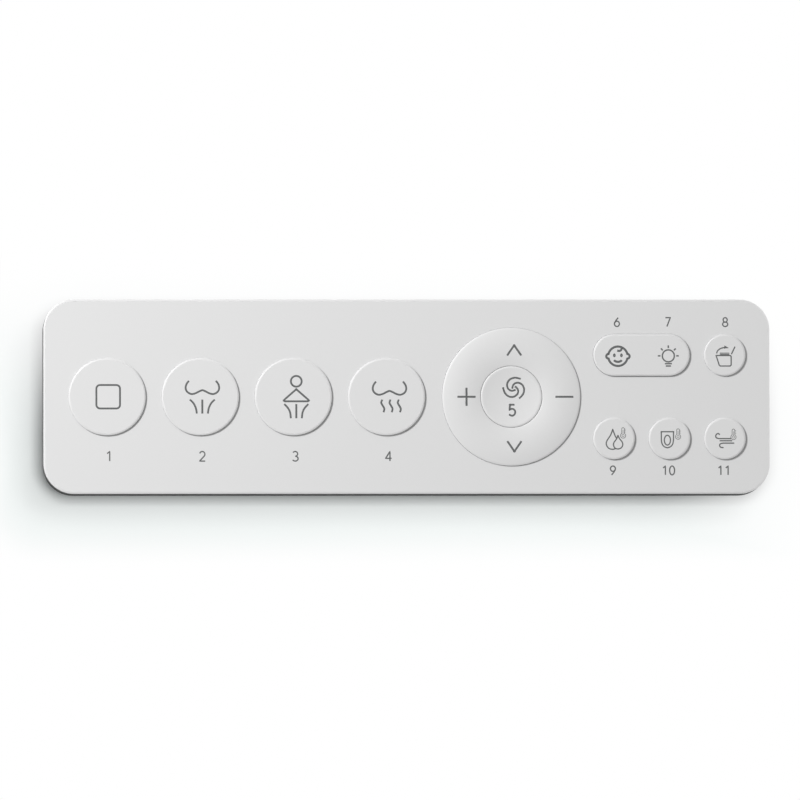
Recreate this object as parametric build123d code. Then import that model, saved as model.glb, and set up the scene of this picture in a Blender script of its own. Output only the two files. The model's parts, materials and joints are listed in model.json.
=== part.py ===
"""Wall remote control of an electric bidet seat, in millimetres.

The remote is drawn lying on its back: X runs along it, Y runs up its face, and Z is the height above
the wall. It is stood up at the end, so that its face looks along -Y and its back lies on Y = 0.
"""

import os
from math import cos, radians, sin, sqrt

from build123d import *

os.makedirs("parts", exist_ok=True)

# Front panel
panel_length = 219.0
panel_height = 58.6
panel_corner = 9.1
panel_thickness = 1.8
panel_edge_radius = 0.4

# Case
case_wall = 1.8
case_back = 2.2
case_back_radius = 2.5
case_front_chamfer = 0.25
seal_width = 0.8
seal_depth = 0.7
fit_gap = 0.2

# Keys
key_line_y = -0.07
key_proud = 0.75
key_edge_radius = 0.6
key_gap = 0.15
key_travel = 0.6
key_wall = 1.4
key_roof = 1.5
flange_width = 0.7
flange_thickness = 0.8
flange_gap = 0.3
lug_width = 2.4
main_key_diameter = 23.5
main_plunger_radius = 3.0
small_key_diameter = 12.8
small_plunger_radius = 2.2

# Spaces between the keys from the left edge to the right edge, and from a small key to the top edge
left_space = 7.37
main_key_space = 4.57
ring_space = 5.09
block_space = 3.68
small_key_space = 3.95
right_space = 7.15
row_space = 12.4
edge_space = 10.3

# Four-way ring and flush key
ring_diameter = 41.7
ring_gap = 0.2
ring_tilt = 1.5
ring_rim_proud = 0.45
ring_crown_proud = 0.9
ring_wall = 1.6
ring_plunger_radius = 1.7
flush_diameter = 18.5
flush_gap = 0.2
flush_proud = 0.6
flush_edge_radius = 0.45
flush_dish = 0.5
flush_land = 0.15

# Rocker key
rocker_gap = 0.22
rocker_tilt = 2.0
rocker_pin_radius = 0.7

# Key frame, keypad mat and board
frame_thickness = 1.8
frame_rib_height = 1.5
frame_rib_width = 1.2
post_radius = 2.6
post_pilot_radius = 1.05
post_inset = 7.5
post_drop = 6.3
middle_post_drop = 4.8
mat_thickness = 0.8
mat_clearance = 0.5
pad_thickness = 0.1
dome_height = 1.7
plunger_drop = 0.6
board_thickness = 1.6
board_clearance = 1.0

# Case screws and their plugs
screw_seat_z = 3.6
screw_head_radius = 2.3
screw_head_height = 1.6
screw_radius = 1.0
screw_tip_room = 1.6
plug_thickness = 1.6
boss_wall = 1.1

# Parts on the board
chip_size = 10.0
module_length = 16.0
module_height = 11.0
shield_length = 11.0
crystal_length = 7.5
crystal_width = 3.4
capacitor_length = 3.2
capacitor_width = 1.6

# Batteries and door
cell_radius = 5.25
cell_length = 44.5
cell_clearance = 0.4
cell_head_room = 1.0
bay_post_gap = 2.4
bay_wall = 1.2
bay_floor_wall = 1.85
contact_thickness = 0.4
spring_space = 4.5
door_thickness = 1.4
door_lip = 0.6
door_tongue = 1.0
door_margin = 1.6

# Keyhole hangers in the back
hanger_spacing = 120.0
hanger_entry_radius = 3.75
hanger_slot_radius = 2.0
hanger_entry_y = 2.0
hanger_drop = 7.0
hanger_cap = 0.8
hanger_board_gap = 0.4
hanger_head_room = 0.55
hanger_wall = 1.2

# Ribs and board pegs on the floor of the case
floor_rib_height = 1.0
floor_rib_width = 1.0
floor_ribs = 7
peg_radius = 1.7
peg_foot_radius = 2.2

# Heights above the wall, from the cells that set the depth to the board
cell_z = door_thickness + fit_gap + 0.1 + cell_radius
case_depth = cell_z + cell_radius + cell_head_room
face_z = case_depth + panel_thickness
frame_bottom = case_depth - frame_thickness
flange_top = frame_bottom - flange_gap
flange_bottom = flange_top - flange_thickness
dome_top = flange_bottom - plunger_drop
mat_top = dome_top - dome_height
board_top = mat_top - mat_thickness
board_bottom = board_top - board_thickness
key_top = face_z + key_proud
screw_length = case_depth - screw_seat_z - screw_tip_room
hanger_depth = board_bottom - hanger_board_gap - hanger_cap - case_back

# Outlines that follow from the panel
inner_length = panel_length - 2 * case_wall
inner_height = panel_height - 2 * case_wall
inner_corner = panel_corner - case_wall
boss_radius = screw_head_radius + fit_gap + boss_wall
boss_top = board_bottom - fit_gap

# Key places: the spaces stretch with the panel
main_radius = main_key_diameter / 2
small_radius = small_key_diameter / 2
ring_radius = ring_diameter / 2
flush_radius = flush_diameter / 2
ring_hole = flush_radius + flush_gap
free_length = panel_length - 4 * main_key_diameter - ring_diameter - 3 * small_key_diameter
spaces = left_space + 3 * main_key_space + ring_space + block_space + 2 * small_key_space + right_space
stretch = free_length / spaces
main_key_pitch = main_key_diameter + main_key_space * stretch
main_key_first_x = -panel_length / 2 + left_space * stretch + main_radius
ring_x = main_key_first_x + 3 * main_key_pitch + main_radius + ring_space * stretch + ring_radius
small_key_pitch = small_key_diameter + small_key_space * stretch
small_key_middle_x = ring_x + ring_radius + block_space * stretch + small_radius + small_key_pitch
free_height = panel_height - 2 * small_key_diameter
small_key_row = (small_key_diameter + row_space * free_height / (row_space + 2 * edge_space)) / 2
row_top = key_line_y + small_key_row
row_bottom = key_line_y - small_key_row
main_places = {
    "stop_button": (main_key_first_x, key_line_y),
    "rear_wash_button": (main_key_first_x + main_key_pitch, key_line_y),
    "front_wash_button": (main_key_first_x + 2 * main_key_pitch, key_line_y),
    "dryer_button": (main_key_first_x + 3 * main_key_pitch, key_line_y),
}
small_places = {
    "lid_button": (small_key_middle_x + small_key_pitch, row_top),
    "water_temp_button": (small_key_middle_x - small_key_pitch, row_bottom),
    "seat_temp_button": (small_key_middle_x, row_bottom),
    "air_temp_button": (small_key_middle_x + small_key_pitch, row_bottom),
}
rocker_x = small_key_middle_x - small_key_pitch / 2
rocker_length = small_key_pitch + small_key_diameter
ring_plunger_place = ring_radius - ring_wall - ring_plunger_radius - fit_gap
ring_places = [
    (ring_x + ring_plunger_place * cos(radians(turn)), key_line_y + ring_plunger_place * sin(radians(turn)))
    for turn in (0, 90, 180, 270)
]
rocker_places = [
    (rocker_x - small_key_pitch / 2, row_top),
    (rocker_x + small_key_pitch / 2, row_top),
]

# Battery bay along the lower left edge
bay_width = 2 * (cell_radius + cell_clearance)
bay_length = 2 * cell_length + spring_space + contact_thickness
post_x = panel_length / 2 - post_inset
bay_left_x = -post_x + boss_radius + bay_post_gap
bay_right_x = bay_left_x + bay_length
bay_x = (bay_left_x + bay_right_x) / 2
bay_y = -inner_height / 2 + bay_floor_wall + bay_width / 2
bay_top_y = bay_y + bay_width / 2
door_top_y = bay_top_y + door_margin
door_width = bay_length + 2 * door_margin

# Screw posts stand in the corners and to the right of the battery bay
post_bay_gap = 5.5
middle_x = bay_right_x + bay_wall + boss_radius + post_bay_gap
post_places = [(side * post_x, up * (panel_height / 2 - post_drop)) for side in (-1, 1) for up in (-1, 1)]
post_places += [(middle_x, up * (panel_height / 2 - middle_post_drop)) for up in (-1, 1)]


def block(x0, x1, y0, y1, z0, z1):
    """Box between two corners."""
    size = Box(x1 - x0, y1 - y0, z1 - z0)
    return Pos((x0 + x1) / 2, (y0 + y1) / 2, (z0 + z1) / 2) * size


def rod(place, radius, z0, z1):
    """Upright cylinder on a place of the face."""
    upright = Cylinder(radius, z1 - z0, align=(Align.CENTER, Align.CENTER, Align.MIN))
    return Pos(place[0], place[1], z0) * upright


def cone(place, low_radius, high_radius, z0, z1):
    """Upright cone frustum on a place of the face."""
    upright = Cone(low_radius, high_radius, z1 - z0, align=(Align.CENTER, Align.CENTER, Align.MIN))
    return Pos(place[0], place[1], z0) * upright


def slab(length, height, corner, z0, z1):
    """Plate with rounded corners about the middle of the face."""
    return Pos(0, 0, z0) * extrude(RectangleRounded(length, height, corner), z1 - z0)


def pill(place, length, height, z0, z1):
    """Plate with half-round ends."""
    return Pos(place[0], place[1], z0) * extrude(SlotOverall(length, height), z1 - z0)


def upright_pill(place, radius, rise, z0, z1):
    """Plate with half-round ends that runs up from a place."""
    outline = SlotCenterToCenter(rise, 2 * radius, rotation=90)
    return Pos(place[0], place[1] + rise / 2, z0) * extrude(outline, z1 - z0)


def key_holes(z0, z1):
    """Openings for every key, through a plate."""
    holes = [rod(at, main_radius + key_gap, z0, z1) for at in main_places.values()]
    holes += [rod(at, small_radius + key_gap, z0, z1) for at in small_places.values()]
    holes.append(rod((ring_x, key_line_y), ring_radius + ring_gap, z0, z1))
    wide = rocker_length + 2 * rocker_gap
    tall = small_key_diameter + 2 * rocker_gap
    holes.append(pill((rocker_x, row_top), wide, tall, z0, z1))
    return holes


# Front panel: a flat plate with a rounded front edge
panel = slab(panel_length, panel_height, panel_corner, case_depth, face_z)
panel = fillet(panel.faces().sort_by(Axis.Z)[-1].edges(), panel_edge_radius)
front_panel = panel - key_holes(case_depth - 1, face_z + 1)

# Key frame: the plate behind the panel, with the screw posts and a stiffening rib
frame = slab(
    inner_length - 2 * fit_gap,
    inner_height - 2 * fit_gap,
    inner_corner - fit_gap,
    frame_bottom,
    case_depth,
)
frame -= key_holes(frame_bottom - 1, case_depth + 1)
frame -= block(
    bay_left_x, bay_right_x, bay_y - bay_width / 2, bay_top_y, frame_bottom - 1, case_depth + 1
)
rib_top = inner_height / 2 - board_clearance
rib_end = post_x - 2 * boss_radius
frame += block(
    -rib_end, rib_end, rib_top - frame_rib_width, rib_top, frame_bottom - frame_rib_height, frame_bottom
)
for place in post_places:
    frame += rod(place, post_radius, boss_top, frame_bottom + 0.5)
round_keys = [(at, main_radius) for at in main_places.values()]
round_keys += [(at, small_radius) for at in small_places.values()]
for place, radius in round_keys:
    lug_reach = place[1] + radius + flange_width + key_gap
    half_slot = lug_width / 2 + key_gap
    frame -= block(
        place[0] - half_slot, place[0] + half_slot, place[1], lug_reach, frame_bottom - 1, case_depth + 1
    )
pin_reach = small_radius + rocker_gap + 1.4
pin_slot = rocker_pin_radius + rocker_gap
frame -= block(
    rocker_x - pin_slot,
    rocker_x + pin_slot,
    row_top - pin_reach - fit_gap,
    row_top + pin_reach + fit_gap,
    frame_bottom - 2,
    case_depth + 1,
)
for place in post_places:
    frame -= rod(place, post_pilot_radius, boss_top - 1, screw_seat_z + screw_length + fit_gap)
key_frame = frame

# Rear housing: a tray with bosses, the battery bay, board pegs and the two keyhole hangers
shell = slab(panel_length, panel_height, panel_corner, 0, case_depth)
shell = fillet(shell.faces().sort_by(Axis.Z)[0].edges(), case_back_radius)
shell = chamfer(shell.faces().sort_by(Axis.Z)[-1].edges(), case_front_chamfer)
solid_case = shell
housing = shell - slab(inner_length, inner_height, inner_corner, case_back, case_depth + 1)
for step in range(floor_ribs):
    rib_x = post_x * (2 * (step + 1) / (floor_ribs + 1) - 1)
    housing += block(
        rib_x - floor_rib_width / 2,
        rib_x + floor_rib_width / 2,
        bay_top_y,
        inner_height / 2 + 0.5,
        case_back - 0.5,
        case_back + floor_rib_height,
    )
for place in post_places:
    housing += rod(place, boss_radius, case_back - 0.5, boss_top)
peg_x = 0.38 * panel_length
peg_inner_x = 0.137 * panel_length
peg_y = 0.32 * panel_height
peg_places = [(-peg_x, peg_y), (-peg_inner_x, peg_y), (peg_inner_x, peg_y), (peg_x, peg_y)]
peg_places += [(peg_inner_x, -peg_y), (peg_x, -peg_y)]
for place in peg_places:
    housing += cone(place, peg_foot_radius, peg_radius, case_back - 0.5, board_bottom)
bay_top_z = flange_bottom - key_travel - flange_gap
housing += block(
    bay_left_x - bay_wall,
    bay_right_x + bay_wall,
    -inner_height / 2 - 0.5,
    bay_top_y + bay_wall,
    case_back - 0.5,
    bay_top_z,
)
housing -= block(
    bay_left_x, bay_right_x, bay_y - bay_width / 2, bay_top_y, door_thickness, bay_top_z + 1
)
hanger_places = [(side * hanger_spacing / 2, hanger_entry_y) for side in (-1, 1)]
pocket_radius = hanger_entry_radius + hanger_head_room
for place in hanger_places:
    cap_z = case_back + hanger_depth
    housing += upright_pill(
        place, pocket_radius + hanger_wall, hanger_drop, case_back - 0.5, cap_z + hanger_cap
    )
    housing -= upright_pill(place, pocket_radius, hanger_drop, case_back, cap_z)
    housing -= rod(place, hanger_entry_radius, -1, case_back + 0.1)
    housing -= upright_pill(place, hanger_slot_radius, hanger_drop, -1, case_back + 0.1)
for place in post_places:
    housing -= rod(place, screw_head_radius + fit_gap, -1, screw_seat_z)
    housing -= rod(place, screw_radius + fit_gap, screw_seat_z - 1, boss_top + 1)

# The door runs down out of the bottom edge between two lips
below = -panel_height / 2 - 1
housing -= block(
    bay_x - door_width / 2 - fit_gap,
    bay_x + door_width / 2 + fit_gap,
    below,
    door_top_y + fit_gap,
    -1,
    door_thickness + fit_gap,
)
housing -= block(
    bay_x - door_width / 2 - door_tongue - fit_gap,
    bay_x + door_width / 2 + door_tongue + fit_gap,
    below,
    door_top_y + fit_gap,
    door_lip,
    door_thickness + fit_gap,
)
seal_outer = slab(
    panel_length - case_wall + seal_width,
    panel_height - case_wall + seal_width,
    panel_corner - (case_wall - seal_width) / 2,
    case_depth - seal_depth,
    case_depth,
)
seal_inner = slab(
    panel_length - case_wall - seal_width,
    panel_height - case_wall - seal_width,
    panel_corner - (case_wall + seal_width) / 2,
    case_depth - seal_depth,
    case_depth,
)
perimeter_gasket = seal_outer - seal_inner
housing -= perimeter_gasket

# Tails of the battery contacts pass through the upper wall of the bay
tail_width = 1.2
tail_y = bay_top_y + bay_wall + 3.0
tail_top = board_bottom
tail_bottom = board_bottom - contact_thickness
for low_x, high_x in (
    (bay_left_x, bay_left_x + tail_width),
    (bay_right_x - tail_width, bay_right_x),
):
    housing -= block(
        low_x - fit_gap, high_x + fit_gap, bay_top_y - 1, tail_y, tail_bottom - fit_gap, tail_top + fit_gap
    )
rear_housing = housing

# Battery door: cut from the outline of the case, with a tongue along each side
door = block(
    bay_x - door_width / 2, bay_x + door_width / 2, below, door_top_y, -1, door_thickness
)
door += block(
    bay_x - door_width / 2 - door_tongue,
    bay_x + door_width / 2 + door_tongue,
    below,
    door_top_y,
    door_lip + fit_gap,
    door_thickness,
)
door = door & solid_case
for step in range(5):
    ridge_y = door_top_y - 3.0 - 1.8 * step
    door -= block(bay_x - 11, bay_x + 11, ridge_y - 0.5, ridge_y + 0.5, -1, 0.45)
battery_door = door

# Cells, end plate and leaf spring
cell_body = cell_length - 1.0


def cell(left_x):
    """One AAA cell with its button end to the right."""
    can = Cylinder(cell_radius, cell_body, align=(Align.CENTER, Align.CENTER, Align.MIN))
    can = chamfer(can.edges().filter_by(GeomType.CIRCLE), 0.5)
    nub = Cylinder(1.9, cell_length, align=(Align.CENTER, Align.CENTER, Align.MIN))
    return Pos(left_x, bay_y, cell_z) * Rot(0, 90, 0) * (can + nub)


battery_left = cell(bay_left_x + spring_space)
battery_right = cell(bay_left_x + spring_space + cell_length)
contact_reach = 0.85 * cell_radius
contact_low = cell_z - 0.76 * cell_radius
contact_high = cell_z + 0.76 * cell_radius
plate = block(
    bay_right_x - contact_thickness,
    bay_right_x,
    bay_y - contact_reach,
    bay_y + contact_reach,
    contact_low,
    contact_high,
)
plate += block(
    bay_right_x - tail_width, bay_right_x, bay_y + contact_reach - 0.3, tail_y, tail_bottom, tail_top
)
battery_contact_plate = plate
leaf_line = Polyline(
    (bay_left_x + contact_thickness / 2, contact_high),
    (bay_left_x + contact_thickness / 2, contact_low),
    (bay_left_x + 1.4, contact_low),
    (bay_left_x + spring_space - contact_thickness, cell_z),
    (bay_left_x + 1.4, contact_high - 0.6),
)
leaf = extrude(trace(leaf_line, contact_thickness), 5.0)
leaf = Pos(0, bay_y + 2.5, 0) * Rot(90, 0, 0) * leaf
leaf += block(
    bay_left_x, bay_left_x + contact_thickness, bay_y - 2.5, bay_y + contact_reach, contact_low, contact_high
)
leaf += block(
    bay_left_x, bay_left_x + tail_width, bay_y + contact_reach - 0.3, tail_y, tail_bottom, tail_top
)
battery_contact_spring = leaf

# Main board: it fills the case above and beside the battery bay
notch_right = bay_right_x + bay_wall + 0.6
notch_top = bay_top_y + bay_wall + 0.6


def board_sheet(clearance, z0, z1):
    """Sheet of the board's outline, set back from the case by a clearance."""
    sheet = slab(
        inner_length - 2 * clearance, inner_height - 2 * clearance, inner_corner - clearance, z0, z1
    )
    margin = clearance - board_clearance
    return sheet - block(
        -panel_length, notch_right + margin, -panel_height, notch_top + margin, z0 - 1, z1 + 1
    )


collar_pegs = [
    (ring_x + 8.7 * cos(radians(turn)), key_line_y + 8.7 * sin(radians(turn))) for turn in (90, 210, 330)
]
board = board_sheet(board_clearance, board_bottom, board_top)
board -= [rod(at, post_radius + 0.4, board_bottom - 1, board_top + 1) for at in post_places]
board -= [rod(at, 0.9, board_bottom - 1, board_top + 1) for at in collar_pegs]
main_board = board

# Contact pads under the domes: each dome has a place, a foot and a head radius, and the travel of its key
ring_travel = ring_plunger_place * sin(radians(ring_tilt))
rocker_travel = small_key_pitch / 2 * sin(radians(rocker_tilt))
domes = [(at, 4.4, 3.2, key_travel) for at in main_places.values()]
domes += [((ring_x, key_line_y), 4.4, 3.2, key_travel)]
domes += [(at, 3.3, 2.3, key_travel) for at in small_places.values()]
domes += [(at, 2.7, 1.6, ring_travel) for at in ring_places]
domes += [(at, 3.3, 2.3, rocker_travel) for at in rocker_places]
pad_top = board_top + pad_thickness
contact_pads = Compound(
    children=[rod(at, foot - 1.4, board_top, pad_top) for at, foot, head, travel in domes]
)

# Keypad mat: one silicone sheet with a hollow dome and a contact pill at each pad
mat = board_sheet(board_clearance + mat_clearance, board_top, mat_top)
mat -= [rod(at, post_radius + 0.6, board_top - 1, mat_top + 1) for at in post_places]
mat -= [rod(at, 0.9, board_top - 1, mat_top + 1) for at in collar_pegs]
mat += [cone(at, foot, head, mat_top - 0.1, dome_top) for at, foot, head, travel in domes]
mat -= [cone(at, foot - 0.6, head - 0.5, board_top, dome_top - 0.7) for at, foot, head, travel in domes]
mat += [rod(at, head - 1.0, pad_top + travel, dome_top - 0.5) for at, foot, head, travel in domes]
keypad_mat = mat

# Parts on the back of the board, between it and the back of the case
room = board_bottom - case_back
part_low = board_bottom - 0.35 * room
shield_low = board_bottom - 0.65 * room


def on_board(x, y, length, height, low):
    """Flat block under the board about a place."""
    return block(x - length / 2, x + length / 2, y - height / 2, y + height / 2, low, board_bottom)


controller_chip = on_board(-0.087 * panel_length, 0.1 * panel_height, chip_size, chip_size, part_low)
module_x = 0.393 * panel_length
module_y = 0.094 * panel_height
radio_module = on_board(module_x, module_y, module_length, module_height, board_bottom - 0.24 * room)
radio_module += on_board(
    module_x - 0.1 * module_length, module_y, shield_length, 0.82 * module_height, shield_low
)
crystal = pill(
    (-0.037 * panel_length, 0.1 * panel_height), crystal_length, crystal_width, shield_low, board_bottom
)
capacitor_places = [
    (across * panel_length, up * panel_height)
    for across, up in ((0.073, -0.2), (0.096, -0.2), (-0.155, 0.1), (-0.155, 0.19))
]
board_capacitors = Compound(
    children=[on_board(x, y, capacitor_length, capacitor_width, part_low) for x, y in capacitor_places]
)

# Guide collar: a tube with a ball-shaped head, on which the four-way ring rocks
pivot_z = case_depth
middle = (ring_x, key_line_y)
ball_radius = ring_hole - 0.35
collar_top = pivot_z + 0.2
collar_outer = flush_radius - 0.65
collar_bore = collar_outer - 0.9
stem_radius = collar_bore - 1.2
ball = Pos(ring_x, key_line_y, pivot_z) * Sphere(ball_radius)
ball_low = pivot_z - sqrt(ball_radius**2 - collar_outer**2)
collar = rod(middle, collar_outer, mat_top, collar_top)
collar += ball & rod(middle, ball_radius + 1, ball_low, collar_top)
collar += rod(middle, flush_radius + 0.35, mat_top, mat_top + 0.6)
collar -= rod(middle, stem_radius + fit_gap + 0.1, mat_top - 1, collar_top + 1)
collar -= rod(middle, collar_bore, mat_top - 1, flange_top + flange_gap)
collar += [rod(at, 0.7, board_bottom, mat_top + 0.4) for at in collar_pegs]
dpad_guide_collar = collar

# Four-way ring: a crowned ring with a flange below and a plunger over each of its four domes
rim_z = face_z + ring_rim_proud
crown_z = face_z + ring_crown_proud
ring_roof = face_z - 0.6
flange_rise = (ring_radius + flange_width) * sin(radians(ring_tilt * sqrt(2)))
ring_flange_top = frame_bottom - flange_rise - fit_gap
ring_flange_bottom = ring_flange_top - flange_thickness
crown = ThreePointArc(
    (ring_hole, 0, rim_z), ((ring_hole + ring_radius) / 2, 0, crown_z), (ring_radius, 0, rim_z)
)
section = Polyline(
    (ring_radius, 0, rim_z),
    (ring_radius, 0, ring_flange_top),
    (ring_radius + flange_width, 0, ring_flange_top),
    (ring_radius + flange_width, 0, ring_flange_bottom),
    (ring_radius - ring_wall, 0, ring_flange_bottom),
    (ring_radius - ring_wall, 0, ring_roof),
    (ring_hole + ring_wall, 0, ring_roof),
    (ring_hole + ring_wall, 0, ring_flange_bottom),
    (ring_hole, 0, ring_flange_bottom),
    (ring_hole, 0, rim_z),
)
ring = revolve(make_face(crown.edges() + section.edges()), Axis.Z)
rims = ring.edges().filter_by(GeomType.CIRCLE).filter_by_position(Axis.Z, rim_z - 0.01, rim_z + 0.01)
ring = Pos(ring_x, key_line_y, 0) * fillet(rims, 0.35)
ring += [rod(at, ring_plunger_radius, dome_top, ring_roof + 0.3) for at in ring_places]
dpad_ring = ring

# Cushion ring: the soft ring that carries the inner edge of the four-way ring
cushion = rod(middle, ring_hole + ring_wall + 0.3, mat_top, ring_flange_bottom)
dpad_cushion_ring = cushion - rod(middle, ring_hole + 0.35, mat_top - 1, ring_flange_bottom + 1)

# Flush key: a round dished cap on a stem that slides in the guide collar
flush_top = face_z + flush_proud
flush_cap_bottom = collar_top + key_travel + fit_gap
flush = rod(middle, flush_radius, flush_cap_bottom, flush_top)
flush = fillet(flush.edges().filter_by(GeomType.CIRCLE).sort_by(Axis.Z)[-1], flush_edge_radius)
dish_edge = flush_radius - flush_edge_radius - flush_land
dish_radius = (dish_edge**2 + flush_dish**2) / (2 * flush_dish)
flush -= Pos(ring_x, key_line_y, flush_top - flush_dish + dish_radius) * Sphere(dish_radius)
flush += rod(middle, stem_radius, flange_bottom, flush_cap_bottom + 0.2)
flush += rod(middle, collar_bore - 0.3, flange_bottom, flange_top)
flush -= rod(middle, stem_radius - key_wall, flange_bottom - 1, flush_cap_bottom)
flush += rod(middle, 2.6, dome_top, flush_cap_bottom + 0.2)
flush_button = flush


def round_key(place, radius, plunger):
    """Round key: a hollow cap with a flange that holds it, a lug that keeps it upright, and a plunger."""
    key = rod(place, radius, flange_bottom, key_top)
    key = fillet(key.edges().filter_by(GeomType.CIRCLE).sort_by(Axis.Z)[-1], key_edge_radius)
    key += rod(place, radius + flange_width, flange_bottom, flange_top)
    key += block(
        place[0] - lug_width / 2,
        place[0] + lug_width / 2,
        place[1] + radius - key_wall / 2,
        place[1] + radius + flange_width,
        flange_bottom,
        case_depth - flange_gap,
    )
    key -= rod(place, radius - key_wall, flange_bottom - 1, key_top - key_roof)
    return key + rod(place, plunger, dome_top, key_top - key_roof + 0.2)


# Rocker key: a pill-shaped cap on two pins, with a plunger under each half
rocker_axis_z = case_depth - rocker_pin_radius - 0.2
rocker_bottom = frame_bottom - 0.8
cap = pill((rocker_x, row_top), rocker_length, small_key_diameter, rocker_bottom, key_top)
cap = fillet(cap.faces().sort_by(Axis.Z)[-1].edges(), key_edge_radius)
cap -= pill(
    (rocker_x, row_top),
    rocker_length - 2 * key_wall,
    small_key_diameter - 2 * key_wall,
    rocker_bottom - 1,
    key_top - key_roof,
)
for side in (-1, 1):
    pin = Cylinder(rocker_pin_radius, pin_reach - small_radius + 0.8, rotation=(90, 0, 0))
    pin_y = row_top + side * (pin_reach + small_radius - 0.8) / 2
    cap += Pos(rocker_x, pin_y, rocker_axis_z) * pin
cap += [rod(at, 2.0, dome_top, key_top - key_roof + 0.2) for at in rocker_places]
child_light_rocker = cap

# Case screws and the plugs over them
case_screws = Compound(
    children=[
        rod(at, screw_head_radius, screw_seat_z - screw_head_height, screw_seat_z)
        + rod(at, screw_radius, screw_seat_z - 0.5, screw_seat_z + screw_length)
        for at in post_places
    ]
)
screw_plugs = Compound(
    children=[rod(at, screw_head_radius + fit_gap, 0.2, 0.2 + plug_thickness) for at in post_places]
)

nodes = {
    "front_panel": front_panel,
    "key_frame": key_frame,
    "rear_housing": rear_housing,
    "perimeter_gasket": perimeter_gasket,
    "battery_door": battery_door,
    "battery_left": battery_left,
    "battery_right": battery_right,
    "battery_contact_plate": battery_contact_plate,
    "battery_contact_spring": battery_contact_spring,
    "main_board": main_board,
    "contact_pads": contact_pads,
    "keypad_mat": keypad_mat,
    "controller_chip": controller_chip,
    "radio_module": radio_module,
    "crystal": crystal,
    "board_capacitors": board_capacitors,
    "dpad_guide_collar": dpad_guide_collar,
    "dpad_ring": dpad_ring,
    "dpad_cushion_ring": dpad_cushion_ring,
    "flush_button": flush_button,
    "child_light_rocker": child_light_rocker,
    "case_screws": case_screws,
    "screw_plugs": screw_plugs,
}
for name, place in main_places.items():
    nodes[name] = round_key(place, main_radius, main_plunger_radius)
for name, place in small_places.items():
    nodes[name] = round_key(place, small_radius, small_plunger_radius)

# Stand the remote up, face along -Y, and write one file per node
for name, shape in nodes.items():
    export_step(Rot(90, 0, 0) * shape, f"parts/{name}.step")
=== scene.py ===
import json
from math import cos, pi, radians, sin, sqrt, tan

import bmesh
import bpy
from mathutils import Matrix, Vector

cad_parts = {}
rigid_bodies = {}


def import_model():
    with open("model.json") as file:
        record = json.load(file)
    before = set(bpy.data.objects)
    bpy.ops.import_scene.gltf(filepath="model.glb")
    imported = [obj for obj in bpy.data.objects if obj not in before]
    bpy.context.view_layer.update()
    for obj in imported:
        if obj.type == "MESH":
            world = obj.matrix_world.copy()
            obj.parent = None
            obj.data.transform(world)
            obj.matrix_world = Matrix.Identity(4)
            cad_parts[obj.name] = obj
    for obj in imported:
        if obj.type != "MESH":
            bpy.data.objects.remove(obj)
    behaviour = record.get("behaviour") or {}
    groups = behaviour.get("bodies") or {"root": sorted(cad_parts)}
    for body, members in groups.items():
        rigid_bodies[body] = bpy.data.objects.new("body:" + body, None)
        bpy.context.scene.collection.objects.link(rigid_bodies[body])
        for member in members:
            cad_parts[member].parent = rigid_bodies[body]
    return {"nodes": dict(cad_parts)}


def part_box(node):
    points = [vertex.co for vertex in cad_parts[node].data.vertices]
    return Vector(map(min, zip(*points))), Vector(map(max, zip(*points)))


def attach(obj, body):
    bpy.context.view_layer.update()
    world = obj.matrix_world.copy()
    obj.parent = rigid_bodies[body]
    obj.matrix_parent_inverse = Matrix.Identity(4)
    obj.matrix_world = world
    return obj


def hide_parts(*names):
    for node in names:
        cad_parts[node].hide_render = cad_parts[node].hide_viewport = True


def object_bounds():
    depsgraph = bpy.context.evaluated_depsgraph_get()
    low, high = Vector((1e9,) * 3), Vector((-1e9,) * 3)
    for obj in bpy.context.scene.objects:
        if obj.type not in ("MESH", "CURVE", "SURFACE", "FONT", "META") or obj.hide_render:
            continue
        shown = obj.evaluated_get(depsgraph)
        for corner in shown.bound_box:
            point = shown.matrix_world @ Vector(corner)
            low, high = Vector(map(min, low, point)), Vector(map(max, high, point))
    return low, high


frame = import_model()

bl_info = {
    "name": "Bathroom wall remote",
    "version": (1, 0, 0),
    "blender": (4, 5, 0),
    "location": "3D View > Sidebar > Wall remote",
    "description": "Builds the visible pieces of a bathroom wall remote around its packed frame",
    "category": "Object",
}

MM = 0.001
CAD_BOX = [list(corner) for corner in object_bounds()]

MAIN_KEYS = ["stop", "rear_wash", "front_wash", "dryer"]
SMALL_KEYS = ["lid", "water_temp", "seat_temp", "air_temp"]

# Points round a large key, a small key, the ring, one end of the rocker, a panel corner and a plunger
MAIN_STEPS, SMALL_STEPS, RING_STEPS = 128, 96, 160
PILL_STEPS, CORNER_STEPS, PLUNGER_STEPS = 48, 24, 32

# Flat strips beside the edges of the panel and of the keys' tops, which keep their shading level
PANEL_STRIP, KEY_STRIP = 0.06 * MM, 0.08 * MM

# How far a plunger reaches into the roof that it hangs from
SINK = 0.2 * MM

# Edges that turn more than this stay sharp, on the pieces made here and on those of the frame
PIECE_SHARP, FRAME_SHARP = radians(35), radians(30)

# Paint covers the faces that look forward by more than this share
PAINT_REACH = 0.3

# Ink comes onto a surface from this far in front of the wall
PRINT_DISTANCE = 0.1

# The signs stand a little right of and below the middle of their keys
SIGN_SHIFT = (0.16 * MM, -0.15 * MM)


def linear(code):
    """Linear colour of an sRGB hex value."""
    parts = [int(code[place : place + 2], 16) / 255 for place in (1, 3, 5)]
    return [part / 12.92 if part <= 0.04045 else ((part + 0.055) / 1.055) ** 2.4 for part in parts]


def length(name, description, millimetres):
    """Length property with its default in millimetres."""
    unit = {"subtype": "DISTANCE", "unit": "LENGTH", "min": 0.0, "precision": 5}
    return bpy.props.FloatProperty(name=name, description=description, default=millimetres * MM, **unit)


def slope(name, description, degrees):
    """Angle property with its default in degrees."""
    angle = radians(degrees)
    return bpy.props.FloatProperty(name=name, description=description, default=angle, subtype="ANGLE")


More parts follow.
